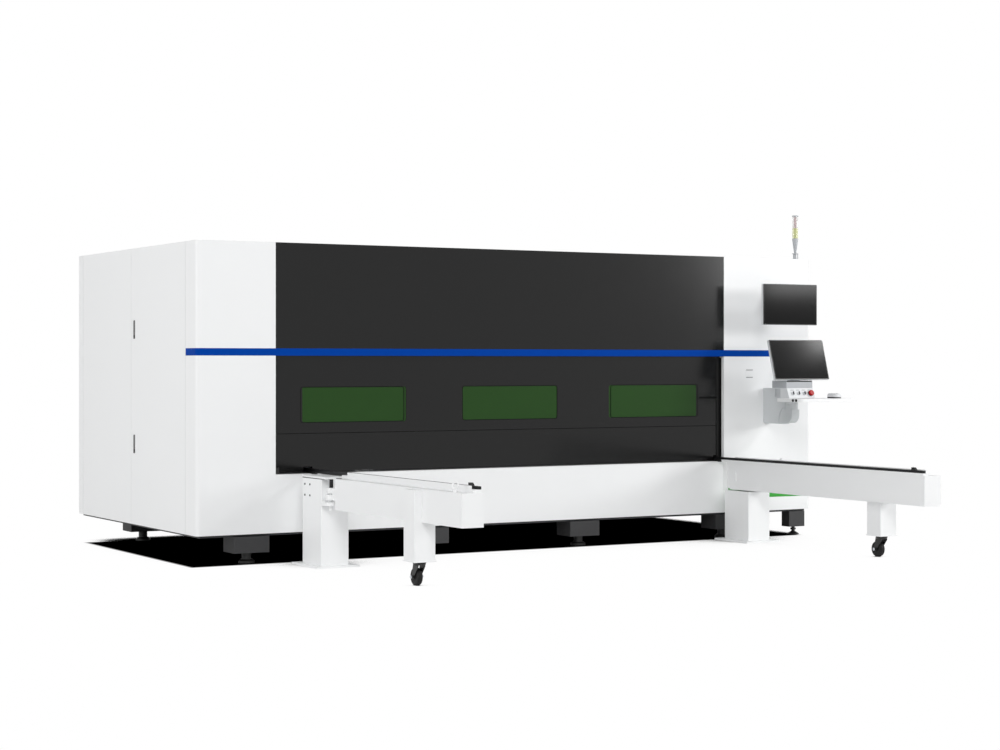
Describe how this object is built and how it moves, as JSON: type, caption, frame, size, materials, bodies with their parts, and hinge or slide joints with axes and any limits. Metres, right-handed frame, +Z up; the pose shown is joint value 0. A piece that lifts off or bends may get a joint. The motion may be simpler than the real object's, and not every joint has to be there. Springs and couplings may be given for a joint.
{
  "type": "fiber laser cutting machine",
  "caption": "Enclosed fiber laser cutting machine: white cabin, dark lift door with green windows, drawer table rolling out on swing arms, operator console.",
  "frame": {"origin": "on the floor, in the middle of the outer box", "axes": "+X right along the front, +Y from the operator's side to the rear, +Z up"},
  "size_m": [4.77, 4.499, 2.327],
  "materials": {
    "white_paint": "smooth white powder coat, satin",
    "blue_paint": "deep blue gloss paint",
    "black_gloss": "very dark grey gloss paint",
    "black_paint": "black satin paint",
    "bed_paint": "dark grey paint, matt",
    "green_paint": "bright green paint, satin",
    "frame_paint": "light grey powder coat",
    "green_glass": "dark green laser-safe pane",
    "lens": "clear coloured lens tube",
    "rail_steel": "hardened strip with a dark finish",
    "steel": "ground steel",
    "raw_steel": "plain rolled steel with scale",
    "zinc": "bright zinc plating",
    "duct_steel": "galvanised sheet",
    "head_alloy": "anodised alloy",
    "rubber": "black polyurethane tread",
    "screen_plastic": "dark screen casing",
    "grey_plastic": "light grey moulded plastic",
    "black_plastic": "black moulded plastic",
    "red_plastic": "signal red plastic",
    "cabinet_paint": "light grey powder coat"
  },
  "bodies": {
    "machine": {"machine_bed": "bed_paint", "levelling_feet": "black_paint", "enclosure_frame": "frame_paint", "left_front_pillar": "white_paint", "right_front_pillar": "white_paint", "lower_hatch": "green_paint", "upper_front_panel": "black_gloss", "blue_band": "blue_paint", "front_skirt": "white_paint", "right_side_panel": "white_paint", "rear_cover": "white_paint", "roof_cover": "white_paint", "exhaust_collar": "duct_steel", "door_columns": "black_paint", "table_rails": "rail_steel", "gantry_rails": "steel", "left_post": "white_paint", "right_post": "white_paint", "scrap_tray": "duct_steel", "support_arm": "white_paint", "monitor_bracket": "white_paint", "tower_body": "grey_plastic", "tower_lens": "lens", "electrical_cabinet": "cabinet_paint", "laser_source": "cabinet_paint"},
    "front_leaf": {"left_front_door": "white_paint"},
    "rear_leaf": {"left_rear_door": "white_paint"},
    "upper_paddle": {"upper_lock": "black_plastic"},
    "lower_paddle": {"lower_lock": "black_plastic"},
    "door": {"lift_door": "black_gloss", "door_windows": "green_glass"},
    "worktable": {"table_frame": "frame_paint", "table_slats": "raw_steel", "drawer_front": "black_gloss"},
    "wheel_left_front": {"table_wheel_left_front": "steel"},
    "wheel_left_rear": {"table_wheel_left_rear": "steel"},
    "wheel_right_front": {"table_wheel_right_front": "steel"},
    "wheel_right_rear": {"table_wheel_right_rear": "steel"},
    "gantry": {"gantry_beam": "frame_paint", "gantry_motors": "black_paint"},
    "carriage": {"head_carriage": "white_paint"},
    "head": {"cutting_head": "head_alloy"},
    "arm_left": {"left_arm": "white_paint", "left_arm_rail": "rail_steel"},
    "fork_left": {"left_caster_fork": "zinc"},
    "caster_left": {"left_caster_wheel": "rubber"},
    "arm_right": {"right_arm": "white_paint", "right_arm_rail": "rail_steel"},
    "fork_right": {"right_caster_fork": "zinc"},
    "caster_right": {"right_caster_wheel": "rubber"},
    "console": {"console_shelf": "white_paint", "console_box": "white_paint", "monitor_neck": "grey_plastic", "mouse": "black_plastic"},
    "knob_left": {"selector_knob_1": "black_plastic"},
    "knob_middle": {"selector_knob_2": "black_plastic"},
    "knob_right": {"selector_knob_3": "black_plastic"},
    "stop_head": {"stop_button": "red_plastic"},
    "screen_lower": {"lower_monitor": "screen_plastic"},
    "screen_upper": {"upper_monitor": "screen_plastic"}
  },
  "joints": [
    {"name": "door_lift", "type": "slide", "parent": "machine", "child": "door", "axis": [0, 0, 1], "range_m": [0, 0.58]},
    {"name": "table_slide", "type": "slide", "parent": "machine", "child": "worktable", "axis": [0, -1, 0], "range_m": [0, 2.07]},
    {"name": "gantry_travel", "type": "slide", "parent": "machine", "child": "gantry", "axis": [0, -1, 0], "range_m": [0, 1.5]},
    {"name": "carriage_travel", "type": "slide", "parent": "gantry", "child": "carriage", "axis": [1, 0, 0], "range_m": [0, 2.8]},
    {"name": "head_travel", "type": "slide", "parent": "carriage", "child": "head", "axis": [0, 0, -1], "range_m": [0, 0.14]},
    {"name": "front_leaf_hinge", "type": "hinge", "parent": "machine", "child": "front_leaf", "pos_m": [-2.385, 0.083, 1.095], "axis": [0, 0, 1], "range_deg": [0, 110]},
    {"name": "rear_leaf_hinge", "type": "hinge", "parent": "machine", "child": "rear_leaf", "pos_m": [-2.385, 2.04, 1.095], "axis": [0, 0, -1], "range_deg": [0, 110]},
    {"name": "left_arm_swing", "type": "hinge", "parent": "machine", "child": "arm_left", "pos_m": [-1.707, -0.5905, 0.45], "axis": [0, 0, -1], "range_deg": [0, 90]},
    {"name": "right_arm_swing", "type": "hinge", "parent": "machine", "child": "arm_right", "pos_m": [1.712, -0.3285, 0.45], "axis": [0, 0, 1], "range_deg": [0, 90]},
    {"name": "console_swing", "type": "hinge", "parent": "machine", "child": "console", "pos_m": [1.996, -0.3815, 0.99], "axis": [0, 0, 1], "range_deg": [-30, 30]},
    {"name": "lower_screen_tilt", "type": "hinge", "parent": "console", "child": "screen_lower", "pos_m": [1.996, -0.39898, 1.25486], "axis": [1, 0, 0], "range_deg": [-20, 0]},
    {"name": "upper_screen_swing", "type": "hinge", "parent": "machine", "child": "screen_upper", "pos_m": [1.996, -0.2975, 1.6635], "axis": [0, 0, 1], "range_deg": [-30, 30]},
    {"name": "stop_press", "type": "slide", "parent": "console", "child": "stop_head", "axis": [0, 0.9191, -0.3939], "range_m": [0, 0.005]},
    {"name": "knob_left_turn", "type": "hinge", "parent": "console", "child": "knob_left", "pos_m": [1.895, -0.5187, 1.0345], "axis": [0, -0.9191, 0.3939], "range_deg": [-45, 45]},
    {"name": "knob_middle_turn", "type": "hinge", "parent": "console", "child": "knob_middle", "pos_m": [1.946, -0.5187, 1.0345], "axis": [0, -0.9191, 0.3939], "range_deg": [-45, 45]},
    {"name": "knob_right_turn", "type": "hinge", "parent": "console", "child": "knob_right", "pos_m": [1.997, -0.5187, 1.0345], "axis": [0, -0.9191, 0.3939], "range_deg": [-45, 45]},
    {"name": "lower_paddle_swing", "type": "hinge", "parent": "front_leaf", "child": "lower_paddle", "pos_m": [-2.3784, 1.0045, 0.7695], "axis": [0, 1, 0], "range_deg": [0, 75]},
    {"name": "upper_paddle_swing", "type": "hinge", "parent": "front_leaf", "child": "upper_paddle", "pos_m": [-2.3784, 1.0045, 1.5245], "axis": [0, 1, 0], "range_deg": [0, 75]},
    {"name": "wheel_left_front_roll", "type": "hinge", "parent": "worktable", "child": "wheel_left_front", "pos_m": [-1.6, 0.1995, 0.6323], "axis": [1, 0, 0], "continuous": true},
    {"name": "wheel_left_rear_roll", "type": "hinge", "parent": "worktable", "child": "wheel_left_rear", "pos_m": [-1.6, 1.4795, 0.6323], "axis": [1, 0, 0], "continuous": true},
    {"name": "wheel_right_front_roll", "type": "hinge", "parent": "worktable", "child": "wheel_right_front", "pos_m": [1.567, 0.1995, 0.6323], "axis": [1, 0, 0], "continuous": true},
    {"name": "wheel_right_rear_roll", "type": "hinge", "parent": "worktable", "child": "wheel_right_rear", "pos_m": [1.567, 1.4795, 0.6323], "axis": [1, 0, 0], "continuous": true},
    {"name": "left_caster_swivel", "type": "hinge", "parent": "arm_left", "child": "fork_left", "pos_m": [-1.698, -1.7205, 0.13], "axis": [0, 0, 1], "continuous": true},
    {"name": "left_caster_roll", "type": "hinge", "parent": "fork_left", "child": "caster_left", "pos_m": [-1.698, -1.6865, 0.05], "axis": [1, 0, 0], "continuous": true},
    {"name": "right_caster_swivel", "type": "hinge", "parent": "arm_right", "child": "fork_right", "pos_m": [1.665, -1.7205, 0.13], "axis": [0, 0, 1], "continuous": true},
    {"name": "right_caster_roll", "type": "hinge", "parent": "fork_right", "child": "caster_right", "pos_m": [1.665, -1.6865, 0.05], "axis": [1, 0, 0], "continuous": true}
  ],
  "couplings": [
    {"joint": "wheel_left_front_roll", "follows": "table_slide", "rad_per_m": 19.881},
    {"joint": "wheel_left_rear_roll", "follows": "table_slide", "rad_per_m": 19.881},
    {"joint": "wheel_right_front_roll", "follows": "table_slide", "rad_per_m": 19.881},
    {"joint": "wheel_right_rear_roll", "follows": "table_slide", "rad_per_m": 19.881}
  ]
}
